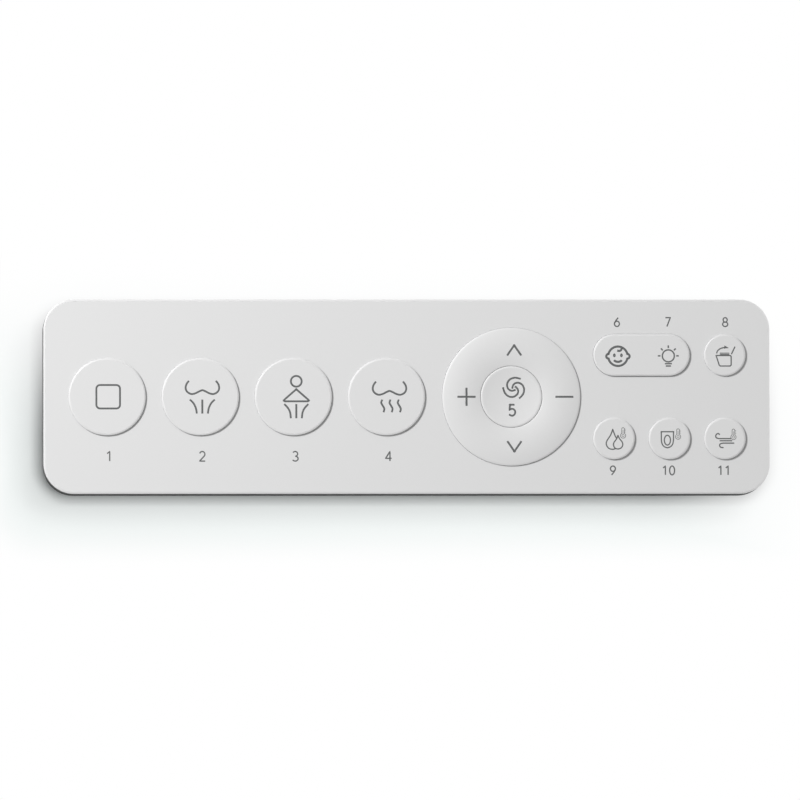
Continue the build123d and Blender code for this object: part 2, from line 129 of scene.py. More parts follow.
def colour(name, description, code):
    """Colour property with its default as an sRGB hex value."""
    return bpy.props.FloatVectorProperty(
        name=name, description=description, default=linear(code), min=0.0, max=1.0, size=3, subtype="COLOR"
    )


class RemoteSizes(bpy.types.PropertyGroup):
    """Sizes of the visible pieces."""

    panel_corner: length("Panel corner", "Radius of the panel's corners", 9.1)
    panel_edge: length("Panel edge", "Width of the shallow bevel round the panel's front", 0.5)
    panel_slope: slope("Panel slope", "Slope of that bevel", 17)
    hole_edge: length("Hole edge", "Rounding of the edges of the key holes", 0.01)
    main_diameter: length("Main key", "Width of the four large round keys", 23.3)
    small_diameter: length("Small key", "Width of the small round keys and of the rocker", 12.6)
    ring_diameter: length("Four-way ring", "Outer width of the four-way ring", 41.7)
    flush_diameter: length("Flush key", "Width of the key inside the ring", 18.5)
    key_gap: length("Key gap", "Gap between a round key and the panel", 0.012)
    ring_gap: length("Ring gap", "Gap between the four-way ring and the panel", 0.015)
    ring_draft: length("Ring draft", "How far the ring's side leans out, down to the panel", 0.06)
    flush_gap: length("Flush key gap", "Gap between the flush key and the ring", 0.09)
    rocker_gap: length("Rocker gap", "Gap between the rocker and the panel", 0.02)
    rocker_draft: length("Rocker draft", "How far the rocker's side leans out, down to the panel", 0.09)
    rocker_trim: length("Rocker trim", "How much each end of the rocker's top stays inside its solid", 0.2)
    hole_flare: length("Hole flare", "Extra width of a hole at the back, so that a key can tilt", 0.3)
    edge_corner: length("Edge corner", "Small rounding between a bevel and the side below it", 0.05)
    key_edge: length("Key edge", "Width of the shallow bevel round the keys' tops", 0.48)
    key_slope: slope("Key slope", "Slope of that bevel", 20)
    flush_edge: length("Flush key edge", "Width of the bevel round the flush key's top", 0.3)
    flush_dish: length("Flush key dish", "Depth of the hollow in the flush key's top", 0.5)
    flush_land: length("Flush key land", "Flat ring around that hollow", 0.3)
    ring_edge: length("Ring edge", "Width of the bevel round the ring's outside", 0.3)
    ring_lip: length("Ring lip", "Width of the bevel round the ring's opening", 0.08)
    ring_slope: slope("Ring slope", "Slope of the ring's bevels", 25)
    ring_crown: length("Ring crown", "Rise of the ring between its two edges", 0.45)
    ring_rim: length("Ring rim", "Height of the ring's edges over the panel", 0.45)
    flange_width: length("Flange width", "Reach of the flange that holds a key", 0.7)
    flange_thickness: length("Flange thickness", "Thickness of that flange", 0.8)
    plunger_drop: length("Plunger drop", "Reach of a plunger below the flange", 0.6)
    main_plunger: length("Main plunger", "Radius of the plungers under the large keys", 3.0)
    small_plunger: length("Small plunger", "Radius of the plungers under the small keys", 2.2)
    key_wall: length("Key wall", "Wall of the hollow keys", 1.4)
    key_roof: length("Key roof", "Thickness of the keys' tops", 1.5)
    main_line: length("Main sign line", "Line width of the signs on the main keys", 0.6)
    ring_line: length("Ring sign line", "Line width of the signs on the ring", 0.63)
    small_line: length("Small sign line", "Line width of the signs on the small keys", 0.4)
    number_height: length("Number height", "Height of the printed numbers", 2.9)
    number_line: length("Number line", "Line width of the printed numbers", 0.42)
    ink_share: bpy.props.FloatProperty(
        name="Ink height", description="Height of the ink as a share of half its line width", default=0.08
    )


class RemoteColours(bpy.types.PropertyGroup):
    """Colours of the visible pieces."""

    panel: colour("Panel", "Clear anodised aluminium of the front panel", "#dcdcdc")
    keys: colour("Keys", "Silver grey paint of the keys", "#dcdcdc")
    key_sides: colour("Key sides", "Bare grey plastic of the keys below their paint", "#a0a1a2")
    housing: colour("Housing", "Dark grey plastic of the case and the battery door", "#333435")
    frame: colour("Key frame", "Light plastic behind the panel", "#c9c9c8")
    silicone: colour("Silicone", "Keypad mat, gasket, cushion and plugs", "#9a9c9d")
    ink: colour("Ink", "Printed signs and numbers", "#5c5e5e")
    board: colour("Board", "Solder mask of the circuit board", "#1d6b42")
    wall: colour("Wall", "Matt white paint of the wall", "#ecf0ef")


# Meshes


def heights(node):
    """Lowest and highest point of a node above the wall."""
    low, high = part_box(node)
    return -high.y, -low.y


def middle(node):
    """Middle of a node on the face, as x and z."""
    low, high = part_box(node)
    return (low.x + high.x) / 2, (low.z + high.z) / 2


def sign_place(node):
    """Point that a key's sign is drawn about."""
    x, z = middle(node)
    return x + SIGN_SHIFT[0], z + SIGN_SHIFT[1]


def circle(at, radius, steps):
    """Points of a circle on the face."""
    turns = [2 * pi * step / steps for step in range(steps)]
    return [(at[0] + radius * cos(turn), at[1] + radius * sin(turn)) for turn in turns]


def stadium(at, half_run, radius, steps):
    """Points of a pill outline on the face."""
    points = []
    for side, start in ((1, -pi / 2), (-1, pi / 2)):
        for step in range(steps + 1):
            turn = start + pi * step / steps
            points.append((at[0] + side * half_run + radius * cos(turn), at[1] + radius * sin(turn)))
    return points


def rounded_rectangle(half_x, half_z, corner, steps):
    """Points of a rectangle with round corners about the middle of the face."""
    points = []
    for quarter, (side, up) in enumerate(((1, 1), (-1, 1), (-1, -1), (1, -1))):
        for step in range(steps + 1):
            turn = pi / 2 * (quarter + step / steps)
            x = side * (half_x - corner) + corner * cos(turn)
            points.append((x, up * (half_z - corner) + corner * sin(turn)))
    return points


def loop(mesh, points, height):
    """Closed loop of vertices at a height above the wall."""
    return [mesh.verts.new((x, -height, z)) for x, z in points]


def bridge(mesh, first, second):
    """Band of faces between two loops, of which either may be a single point."""
    count = max(len(first), len(second))
    first, second = [side if len(side) > 1 else side * count for side in (first, second)]
    for step in range(count):
        after = (step + 1) % count
        corners = (first[step], first[after], second[after], second[step])
        mesh.faces.new(list(dict.fromkeys(corners)))


def skin(mesh, loops):
    """Bands of faces from each loop to the next."""
    for first, second in zip(loops, loops[1:]):
        bridge(mesh, first, second)


def turned(mesh, profile, at, steps, closed=False):
    """Turned shape from a profile of radius and height."""
    loops = []
    for radius, height in profile:
        points = circle(at, radius, steps) if radius else [at]
        loops.append(loop(mesh, points, height))
    skin(mesh, loops + loops[:1] if closed else loops)


def plunger(mesh, at, radius, roof, low):
    """Round plunger that hangs from a key's roof."""
    top = roof + SINK
    turned(mesh, [(0.0, top), (radius, top), (radius, low), (0.0, low)], at, PLUNGER_STEPS)


def rounding(radius, height, edge, steps=8):
    """Profile points of a rounded top edge, from the top to the side."""
    turns = [pi / 2 * step / steps for step in range(steps + 1)]
    return [(radius - edge + edge * sin(turn), height - edge + edge * cos(turn)) for turn in turns]


def shoulder(radius, height, edge, lean, steps=5):
    """Profile points of a shallow bevel that ends in a small round corner, from the top to the side."""
    corner = bpy.context.scene.remote_sizes.edge_corner
    drop = (edge - corner * (1 - sin(lean))) * tan(lean)
    low = height - drop - corner * cos(lean)
    points = [(radius - edge, height)]
    for step in range(steps + 1):
        turn = lean + (pi / 2 - lean) * step / steps
        points.append((radius - corner + corner * sin(turn), low + corner * cos(turn)))
    return points


def fill(mesh, loops):
    """Flat face between an outer loop and the loops of its holes."""
    edges = []
    for points in loops:
        for first, second in zip(points, points[1:] + points[:1]):
            edges.append(mesh.edges.get((first, second)) or mesh.edges.new((first, second)))
    bmesh.ops.triangle_fill(mesh, use_beauty=True, edges=edges)


def piece(name, mesh, body, slot, finish, replaced):
    """Object at the origin from a finished mesh, riding on its body, with its front marked for paint."""
    bmesh.ops.recalc_face_normals(mesh, faces=mesh.faces)
    painted = mesh.faces.layers.float.new("painted")
    for face in mesh.faces:
        face.normal_update()
        face[painted] = float(-face.normal.y > PAINT_REACH)
    data = bpy.data.meshes.new(name)
    mesh.to_mesh(data)
    mesh.free()
    data.shade_smooth()
    data.set_sharp_from_angle(angle=PIECE_SHARP)
    data.materials.append(finish)
    return place(name, data, body, slot, replaced)


def linked(name, data):
    """New object in the scene."""
    thing = bpy.data.objects.new(name, data)
    bpy.context.scene.collection.objects.link(thing)
    return thing


def place(name, data, body, slot, replaced=()):
    """Object that rides on its body, in place of the nodes that it stands for."""
    thing = linked(name, data)
    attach(thing, body)
    if replaced:
        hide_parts(*replaced)
    return thing


# Materials


def add(tree, kind, inputs=None, **settings):
    """Adds a node with its settings, sets or links its inputs and returns its outputs."""
    node = tree.nodes.new(kind)
    for name, value in settings.items():
        setattr(node, name, value)
    for name, value in (inputs or {}).items():
        if isinstance(value, bpy.types.NodeSocket):
            tree.links.new(value, node.inputs[name])
        else:
            node.inputs[name].default_value = value
    return node.outputs


def fresh_tree(made):
    """Empty node tree of a new material or world."""
    made.use_nodes = True
    made.node_tree.nodes.clear()
    return made.node_tree


def calc(tree, operation, *values):
    """Result of a math node."""
    return add(tree, "ShaderNodeMath", dict(enumerate(values)), operation=operation)[0]


def blend(tree, share, first, second):
    """Colour between two others."""
    return add(tree, "ShaderNodeMix", {0: share, 6: first, 7: second}, data_type="RGBA")[2]


def tone(name):
    """Linear colour of a hex value, or of a colour that a user can change."""
    return linear(name) if name.startswith("#") else getattr(bpy.context.scene.remote_colours, name)


def material(name, base, grain, shade, rough, change, relief=0.0, bare=None, **surface):
    """Material with grain of a real size in millimetres, which shades its colour and changes its roughness.

    With relief, in millimetres, the grain stands out. With a bare colour, faces that aren't marked as
    painted show that instead.
    """
    made = bpy.data.materials.get(name)
    if made:
        return made
    base = tone(base)
    made = bpy.data.materials.new(name)
    made.diffuse_color = (*base, 1.0)
    tree = fresh_tree(made)
    places = add(tree, "ShaderNodeTexCoord")["Object"]
    pattern = {"Vector": places, "Scale": 1 / (grain * MM), "Detail": 2.0, "Roughness": 0.6}
    noise = add(tree, "ShaderNodeTexNoise", pattern)["Fac"]
    dark = (*[part * (1 - shade) for part in base], 1.0)
    light = (*[min(1.0, part * (1 + shade)) for part in base], 1.0)
    shown = blend(tree, noise, dark, light)
    if bare:
        painted = add(tree, "ShaderNodeAttribute", attribute_name="painted")["Fac"]
        shown = blend(tree, painted, (*tone(bare), 1.0), shown)
    gloss = {"Value": noise, "To Min": rough - change, "To Max": rough + change}
    links = {"Base Color": shown, "Roughness": add(tree, "ShaderNodeMapRange", gloss)[0]}
    if relief:
        bump = {"Height": noise, "Distance": relief * MM, "Strength": 1.0}
        links["Normal"] = add(tree, "ShaderNodeBump", bump)[0]
    shader = tree.nodes.new("ShaderNodeBsdfPrincipled")
    for socket, value in {"Base_Color": (*base, 1.0), "Roughness": rough, **surface}.items():
        shader.inputs[socket.replace("_", " ")].default_value = value
    for socket, value in links.items():
        tree.links.new(value, shader.inputs[socket])
    add(tree, "ShaderNodeOutputMaterial", {"Surface": shader.outputs["BSDF"]})
    return made


def metal(name, base, **grain):
    """Bare metal with a grain."""
    return material(name, base, Metallic=1.0, **grain)


def panel_finish():
    """Bead-blasted aluminium under a clear anodised layer: a soft, even silver with a very fine grain."""
    look = {"rough": 0.55, "change": 0.03, "Metallic": 0.05}
    return material("bead_blasted_anodised_aluminium", "panel", grain=0.5, shade=0.012, relief=0.002, **look)


def key_finish():
    """Silver paint sprayed on the front of moulded ABS: the panel's tone, with bare grey sides."""
    look = {"rough": 0.56, "change": 0.03, "Metallic": 0.05, "bare": "key_sides"}
    return material("silver_painted_abs", "keys", grain=0.5, shade=0.01, relief=0.0015, **look)


def housing_finish():
    """Spark-textured moulded ABS: a dull dark grey with a fine pebble."""
    look = {"rough": 0.7, "change": 0.06, "Specular_IOR_Level": 0.2}
    return material("spark_textured_abs", "housing", grain=0.35, shade=0.04, relief=0.012, **look)


def frame_finish():
    """Plain moulded ABS from a polished tool, with faint flow marks."""
    return material("moulded_abs", "frame", grain=6.0, shade=0.03, rough=0.4, change=0.05)


def silicone_finish():
    """Moulded silicone rubber: matt, a little cloudy, with some light under its skin."""
    look = {"rough": 0.6, "change": 0.05, "Subsurface_Weight": 0.1, "Subsurface_Scale": 0.6 * MM}
    return material("moulded_silicone", "silicone", grain=0.8, shade=0.04, relief=0.004, **look)


def ink_finish():
    """Pad-printed dark grey ink: flat, with a slightly uneven film."""
    return material("pad_printed_ink", "ink", grain=0.25, shade=0.05, rough=0.5, change=0.06)


def board_finish():
    """Green solder mask over glass-fibre laminate: glossy, mottled by the weave below."""
    look = {"rough": 0.25, "change": 0.05}
    return material("solder_mask_laminate", "board", grain=1.2, shade=0.12, relief=0.006, **look)


def screw_finish():
    """Zinc-plated steel: bright with a faint grey bloom."""
    return metal("zinc_plated_steel", "#b9babc", grain=1.5, shade=0.06, rough=0.35, change=0.1)


def pad_finish():
    """Gold flash over nickel: warm and bright, slightly uneven."""
    return metal("gold_flash", "#d9b45a", grain=0.4, shade=0.05, rough=0.28, change=0.08)


def chip_finish():
    """Black moulded epoxy: dull, with a fine sparkle of filler."""
    return material("moulded_epoxy", "#1b1b1c", grain=0.15, shade=0.2, rough=0.55, change=0.08, relief=0.003)


def shield_finish():
    """Tinned sheet: soft silver with blurred reflections."""
    return metal("tinned_sheet", "#c4c6c8", grain=2.0, shade=0.05, rough=0.32, change=0.1)


def ceramic_finish():
    """Fired ceramic: tan and matt."""
    return material("fired_ceramic", "#b08a5c", grain=0.3, shade=0.08, rough=0.5, change=0.05, relief=0.002)


def contact_finish():
    """Nickel-plated spring steel: bright and slightly warm."""
    return metal("nickel_plated_steel", "#c9c6bf", grain=1.0, shade=0.03, rough=0.22, change=0.06)


def sleeve_finish():
    """Shrink sleeve on a steel can: dark, glossy, with a faint ripple."""
    return material("shrink_sleeve", "#3a4148", grain=4.0, shade=0.06, rough=0.3, change=0.06, relief=0.01)


# Signs: lines on the face in millimetres from the middle of a key, x to the right and z up


def arc(x, z, wide, tall, start, end, steps=14):
    """Points of an arc of an ellipse between two angles in degrees."""
    turns = [radians(start + (end - start) * step / steps) for step in range(steps + 1)]
    return [(x + wide * cos(turn), z + tall * sin(turn)) for turn in turns]


def curved(points, steps=5):
    """Smooth line through the points."""
    ends = [complex(*point) for point in (points[0], *points, points[-1])]
    smooth = []
    for before, first, second, after in zip(ends, ends[1:], ends[2:], ends[3:]):
        bend = before - 2.5 * first + 2 * second - after / 2
        twist = 1.5 * (first - second) + (after - before) / 2
        for step in range(steps):
            t = step / steps
            spot = first + t * (second - before) / 2 + t**2 * bend + t**3 * twist
            smooth.append((spot.real, spot.imag))
    return smooth + [points[-1]]


def mirrored(points, about):
    """Mirror image of a line about an upright line."""
    return [(2 * about - x, z) for x, z in points]


def moved(points, x, z=0.0):
    """Line moved on the face."""
    return [(px + x, pz + z) for px, pz in points]


def turned_line(points, about, turn):
    """Line turned about a point, in degrees."""
    c, s = cos(radians(turn)), sin(radians(turn))
    away = [(x - about[0], z - about[1]) for x, z in points]
    return [(about[0] + c * x - s * z, about[1] + s * x + c * z) for x, z in away]


def shut(points):
    """Closed line."""
    return {"points": points, "closed": True}


def wide(points, share):
    """Line of another width, as a share of the sign's line."""
    return {"points": points, "share": share}


def taper(points, first, last):
    """Filled point: a line whose width runs from one share to another."""
    return {"points": points, "share": first, "last": last}


def square_sign():
    """A square with round corners."""
    corner = 1.1
    left, right, low, high = corner - 3.4, 3.72 - corner, corner - 3.4, 3.68 - corner
    points = []
    for quarter, (x, z) in enumerate(((right, high), (left, high), (left, low), (right, low))):
        points += arc(x, z, corner, corner, 90 * quarter, 90 * quarter + 90, 6)
    return [shut(points)]


def seat_line(x, z):
    """Curve of a sitter over the jets."""
    half = [(-4.07, 2.79), (-4.82, 1.73), (-5.05, 0.5), (-4.55, -0.56), (-3.35, -1.2)]
    half += [(-2.11, -0.98), (-0.9, -0.38), (0.0, -0.05)]
    return moved(curved(half + mirrored(half[-2::-1], 0.0)), x, z)


def rear_sign():
    """A sitter over three jets."""
    jet = curved([(-3.32, -0.71), (-2.26, -1.76), (-1.51, -3.27), (-1.21, -4.93)])
    return [seat_line(0.48, 2.16), jet, [(0.45, -0.71), (0.45, -4.93)], mirrored(jet, 0.45)]


def front_sign():
    """A round head and a wide skirt over three jets."""
    skirt = [(0.71, 2.4), (-2.8, -0.66), (-3.05, -1.0), (-2.75, -1.24)]
    jet = curved([(-2.91, -2.07), (-1.86, -3.2), (-1.18, -4.55), (-0.95, -6.36)])
    return [
        shut(arc(0.71, 4.8, 1.62, 1.62, 0, 354, 40)),
        shut(skirt + mirrored(skirt[:0:-1], 0.71)),
        jet,
        [(0.71, -2.07), (0.71, -6.36)],
        mirrored(jet, 0.71),
    ]


def dryer_sign():
    """A sitter over three waves of warm air."""
    wave = curved([(-1.43, -0.71), (-1.75, -1.65), (-1.28, -2.59), (-0.83, -3.5), (-1.08, -4.55)])
    return [seat_line(0.75, 1.94), wave, moved(wave, 2.49), moved(wave, 4.98)]


def ring_sign():
    """Two arrow heads, a plus and a minus."""
    up = [(-1.43, 12.59), (0.68, 15.66), (2.85, 12.59)]
    down = [(-1.43, -13.25), (0.68, -16.37), (2.85, -13.25)]
    plus = [[(-16.46, 0.12), (-10.98, 0.12)], [(-13.72, 2.84), (-13.72, -2.6)]]
    minus = [(13.1, 0.12), (18.53, 0.12)]
    return [up, down, *plus, minus]


def flush_sign():
    """A swirl of three arms."""
    arm = [(2.69, 5.55), (0.94, 5.9), (-0.57, 5.4), (-1.38, 4.24), (-1.33, 2.99), (-0.67, 2.18)]
    arm = curved(arm + [(0.23, 1.98), (1.14, 2.28)])
    return [turned_line(arm, (0.73, 2.73), turn) for turn in (0, 120, 240)]


def child_sign():
    """A child's head: a circle with two ears, eyes, a mouth and a curl."""
    x, z, size, ear, out = -7.3, -0.24, 2.93, 0.72, 2.8
    head = arc(x, z, size, size, 14, 166, 20) + arc(x - out, z, ear, ear, 93, 267, 10)
    head += arc(x, z, size, size, 194, 346, 20) + arc(x + out, z, ear, ear, -87, 87, 10)
    return [
        {**shut(head), "share": 1.75},
        shut(arc(x - 1.07, 0.04, 0.22, 0.38, 0, 340, 18)),
        shut(arc(x + 1.07, 0.04, 0.22, 0.38, 0, 340, 18)),
        wide(arc(x, -1.0, 1.3, 0.92, 207, 333), 1.8),
        wide(curved([(x - 0.2, 1.48), (x + 0.45, 1.36), (x + 0.97, 1.68), (x + 1.18, 2.3)]), 1.75),
    ]


def light_sign():
    """A lamp bulb with rays."""
    ray = [(7.93, 3.05), (7.93, 2.24)]
    glass = arc(7.93, -0.12, 1.81, 1.81, 0, 360, 44)
    lines = [glass, [(6.88, -2.48), (8.98, -2.48)], [(7.14, -3.19), (8.72, -3.19)]]
    lines += [turned_line(ray, (7.93, -0.12), turn) for turn in (-90, -45, 0, 45, 90)]
    return [wide(line, 1.15) for line in lines]


def lid_sign():
    """A bowl with a raised lid and an arrow over it."""
    bowl = [(-2.76, -0.02), (1.5, -0.02), (1.77, -0.3), (1.77, -2.87), (1.45, -3.19), (-1.5, -3.19)]
    return [
        shut(bowl + [(-1.85, -2.9)]),
        wide([(-1.64, 0.7), (1.25, 0.7)], 0.75),
        wide([(-1.64, 0.3), (1.25, 0.3)], 0.75),
        [(1.84, 0.35), (2.95, 2.68)],
        curved([(-2.62, 0.6), (-2.37, 1.3), (-1.75, 1.9), (-0.9, 2.27), (0.0, 2.41)]),
        taper([(-0.32, 2.55), (1.0, 2.26)], 2.6, 0.2),
    ]


def thermometer(x, z):
    """A small thermometer with a ball, a column and three marks beside its stem."""
    stem = arc(x, z + 2.0, 0.4, 0.4, 0, 180, 8)
    bulb = arc(x, z, 0.78, 0.78, 121, 419, 18)
    marks = [[(x + 0.4, z + up), (x + 0.8, z + up)] for up in (1.05, 1.5, 1.95)]
    inside = [arc(x, z, 0.34, 0.34, 90, 450, 12), [(x, z + 0.34), (x, z + 1.7)]]
    return [wide(stem + bulb + [stem[0]], 0.5), *[wide(line, 0.35) for line in marks + inside]]


def water_sign():
    """Two drops and a thermometer."""
    big = curved([(0.65, 0.04), (0.1, 1.15), (-0.55, 2.86)])
    side = [(-0.55, 2.86), (-1.21, 1.15), (-2.36, -0.66), (-2.46, -1.77), (-1.76, -2.83)]
    big += curved(side + [(-0.55, -3.13), (0.25, -2.93)])[1:]
    small = [(1.01, 1.15), (0.65, 0.09), (-0.2, -1.12), (-0.3, -1.97), (0.15, -2.78), (1.08, -3.03)]
    small = curved(small + [(2.0, -2.67), (2.46, -1.87), (2.3, -0.97), (1.46, 0.14), (1.01, 1.15)])
    return [big, small, *thermometer(2.58, 1.0)]


def seat_sign():
    """A seat and a thermometer."""
    half = [(-0.8, -2.68), (-1.75, -2.33), (-2.4, -1.5), (-2.63, -0.3)]
    side = curved(half) + [(-2.65, 2.17)]
    return [
        shut(side[::-1] + mirrored(side[1:], -0.8)),
        shut(arc(-0.8, -0.38, 0.93, 1.47, 0, 350, 36)),
        *thermometer(2.43, 0.66),
    ]


def air_sign():
    """Three gusts and a thermometer."""
    high = [(-1.75, 1.25), (-2.25, 1.65), (-2.91, 1.15), (-2.81, 0.39), (-2.0, 0.09)]
    low = [(-0.69, -1.27), (-1.55, -1.47), (-1.8, -1.97), (-1.45, -2.52), (-0.59, -2.62)]
    gusts = [curved(high) + [(1.72, 0.09)], [(-1.8, -0.56), (2.02, -0.56)], [(2.62, -1.27)] + curved(low)]
    return [*gusts, *thermometer(2.4, 0.57)]


# Lines of each figure, one unit tall
FIVE = [(0.09, 0.54), (0.31, 0.63), (0.53, 0.52), (0.6, 0.31), (0.5, 0.08), (0.28, 0.0), (0.04, 0.12)]
FIGURES = {
    "0": [shut(arc(0.3, 0.5, 0.28, 0.5, 0, 350, 30))],
    "1": [[(0.1, 0.78), (0.36, 1.0), (0.36, 0.0)]],
    "2": [arc(0.3, 0.71, 0.27, 0.29, 165, -35) + [(0.02, 0.0), (0.6, 0.0)]],
    "3": [arc(0.28, 0.75, 0.25, 0.25, 150, -90), arc(0.28, 0.25, 0.3, 0.25, 90, -150)],
    "4": [[(0.45, 0.0), (0.45, 1.0), (0.0, 0.28), (0.62, 0.28)]],
    "5": [[(0.54, 1.0), (0.13, 1.0)] + curved(FIVE)],
    "6": [curved([(0.46, 1.0), (0.2, 0.68), (0.03, 0.36)]), shut(arc(0.31, 0.3, 0.28, 0.3, 0, 350, 30))],
    "7": [[(0.02, 1.0), (0.58, 1.0), (0.2, 0.0)]],
    "8": [shut(arc(0.3, 0.75, 0.23, 0.25, 0, 350, 28)), shut(arc(0.3, 0.25, 0.29, 0.25, 0, 350, 28))],
    "9": [shut(arc(0.29, 0.7, 0.28, 0.3, 0, 350, 30)), curved([(0.57, 0.64), (0.4, 0.32), (0.14, 0.0)])],
}
FIGURE_WIDTH, FIGURE_STEP = 0.6, 0.82


def number(value, at, tall):
    """Lines of a number about a point, in millimetres."""
    lines = []
    figures = str(value)
    for order, figure in enumerate(figures):
        left = (order - len(figures) / 2) * FIGURE_STEP + (FIGURE_STEP - FIGURE_WIDTH) / 2
        for line in FIGURES[figure]:
            closed = isinstance(line, dict)
            points = line["points"] if closed else line
            points = [(at[0] + tall * (x + left), at[1] + tall * (z - 0.5)) for x, z in points]
            lines.append(shut(points) if closed else points)
    return lines


def corner_points(points, closed, width):
    """Points with the width that keeps a line even round its corners."""
    sharp, widest = radians(22), 1.3
    share_of_width, share_of_run = 0.75, 0.4
    count = len(points)
    out = []
    for order, at in enumerate(points):
        here = Vector(at)
        back = Vector(points[order - 1]) - here
        on = Vector(points[(order + 1) % count]) - here
        between = closed or 0 < order < count - 1
        if between and min(back.length, on.length) < 1e-9:
            continue
        turn = back.angle(-on, 0.0) if between else 0.0
        if turn < sharp:
            out.append((at, 1.0))
            continue
        reach = min(width * share_of_width, back.length * share_of_run, on.length * share_of_run)
        out.append((tuple(here + back.normalized() * reach), 1.0))
        out.append((at, min(widest, 1 / max(0.1, cos(turn / 2)))))
        out.append((tuple(here + on.normalized() * reach), 1.0))
    return out


def line_curve(name, lines, at, width):
    """Curve object of a sign's lines, in the plane y = 0, with half the line width as radius."""
    data = bpy.data.curves.new(name, "CURVE")
    data.dimensions = "3D"
    for line in lines:
        given = line if isinstance(line, dict) else {"points": line}
        closed = given.get("closed", False)
        first = given.get("share", 1.0)
        last = given.get("last", first)
        points = corner_points(given["points"], closed, width / MM * first)
        spline = data.splines.new("POLY")
        spline.points.add(len(points) - 1)
        spline.use_cyclic_u = closed
        for order, ((x, z), mitre) in enumerate(points):
            share = first + (last - first) * order / max(1, len(points) - 1)
            spline.points[order].co = (at[0] + x * MM, 0.0, at[1] + z * MM, 1.0)
            spline.points[order].radius = width / 2 * mitre * share
    return linked(name, data)


def group_tree(name, inputs):
    """New geometry node tree with named inputs of given kinds, and geometry as its result."""
    tree = bpy.data.node_groups.new(name, "GeometryNodeTree")
    for label, kind in inputs.items():
        tree.interface.new_socket(name=label, in_out="INPUT", socket_type="NodeSocket" + kind)
    tree.interface.new_socket(name="Geometry", in_out="OUTPUT", socket_type="NodeSocketGeometry")
    return tree


def print_tree():
    """Node tree that lays flat ink along lines onto a surface."""
    name = "ink_on_surface"
    if name in bpy.data.node_groups:
        return bpy.data.node_groups[name]
    inputs = {"Lines": "Object", "Surface": "Object", "Ink height": "Float", "Cuts": "Int", "Ink": "Material"}
    tree = group_tree(name, inputs)
    given = add(tree, "NodeGroupInput")
    lines = add(tree, "GeometryNodeObjectInfo", {"Object": given["Lines"]})["Geometry"]
    surface = add(tree, "GeometryNodeObjectInfo", {"Object": given["Surface"]})["Geometry"]
    cut = add(tree, "GeometryNodeSubdivideCurve", {"Curve": lines, "Cuts": given["Cuts"]})[0]
    section = add(tree, "GeometryNodeCurvePrimitiveCircle", {"Resolution": 10, "Radius": 1.0})[0]
    radius = add(tree, "GeometryNodeInputRadius")[0]
    sweep = {"Curve": cut, "Profile Curve": section, "Scale": radius, "Fill Caps": True}
    tube = add(tree, "GeometryNodeCurveToMesh", sweep)[0]
    at = add(tree, "ShaderNodeSeparateXYZ", {0: add(tree, "GeometryNodeInputPosition")[0]})
    start = add(tree, "ShaderNodeCombineXYZ", {"X": at["X"], "Y": -PRINT_DISTANCE, "Z": at["Z"]})[0]
    ray = {"Source Position": start, "Ray Direction": (0, 1, 0), "Ray Length": 1.0}
    hit = add(tree, "GeometryNodeRaycast", {"Target Geometry": surface, **ray})
    rise = calc(tree, "MULTIPLY", calc(tree, "MULTIPLY", at["Y"], -1.0), given["Ink height"])
    lift = add(tree, "ShaderNodeVectorMath", {0: hit["Hit Normal"], "Scale": rise}, operation="SCALE")[0]
    spot = add(tree, "ShaderNodeVectorMath", {0: hit["Hit Position"], 1: lift}, operation="ADD")[0]
    laid = add(tree, "GeometryNodeSetPosition", {"Geometry": tube, "Position": spot})[0]
    inked = add(tree, "GeometryNodeSetMaterial", {"Geometry": laid, "Material": given["Ink"]})[0]
    add(tree, "NodeGroupOutput", {"Geometry": inked})
    return tree


def printed(name, lines, at, width, surface, body, cuts=3):
    """Ink of a sign or number on the surface of a piece, as a plain mesh."""
    paths = line_curve(name + "_lines", lines, at, width)
    carrier = linked(name + "_carrier", bpy.data.meshes.new(name + "_carrier"))
    tree = print_tree()
    modifier = carrier.modifiers.new("ink", "NODES")
    modifier.node_group = tree
    values = {"Lines": paths, "Surface": surface, "Cuts": cuts, "Ink": ink_finish()}
    values["Ink height"] = bpy.context.scene.remote_sizes.ink_share
    for socket in tree.interface.items_tree:
        if socket.in_out == "INPUT":
            modifier[socket.identifier] = values[socket.name]
    shown = carrier.evaluated_get(bpy.context.evaluated_depsgraph_get())
    data = bpy.data.meshes.new_from_object(shown)
    data.name = name
    if not data.vertices:
        raise RuntimeError(f"{name} has no ink")
    bpy.data.objects.remove(carrier)
    bpy.data.objects.remove(paths)
    return place(name, data, body, "print_ink")


# Operators


def key_groups(sizes):
    """Large and small round keys, with their radius, the points round them and their plungers' radius."""
    return (
        (MAIN_KEYS, sizes.main_diameter / 2, MAIN_STEPS, sizes.main_plunger),
        (SMALL_KEYS, sizes.small_diameter / 2, SMALL_STEPS, sizes.small_plunger),
    )


def rocker_run(sizes):
    """Half the straight run of the rocker's outline."""
    low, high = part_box("child_light_rocker")
    return (high.x - low.x) / 2 - sizes.rocker_trim - sizes.small_diameter / 2


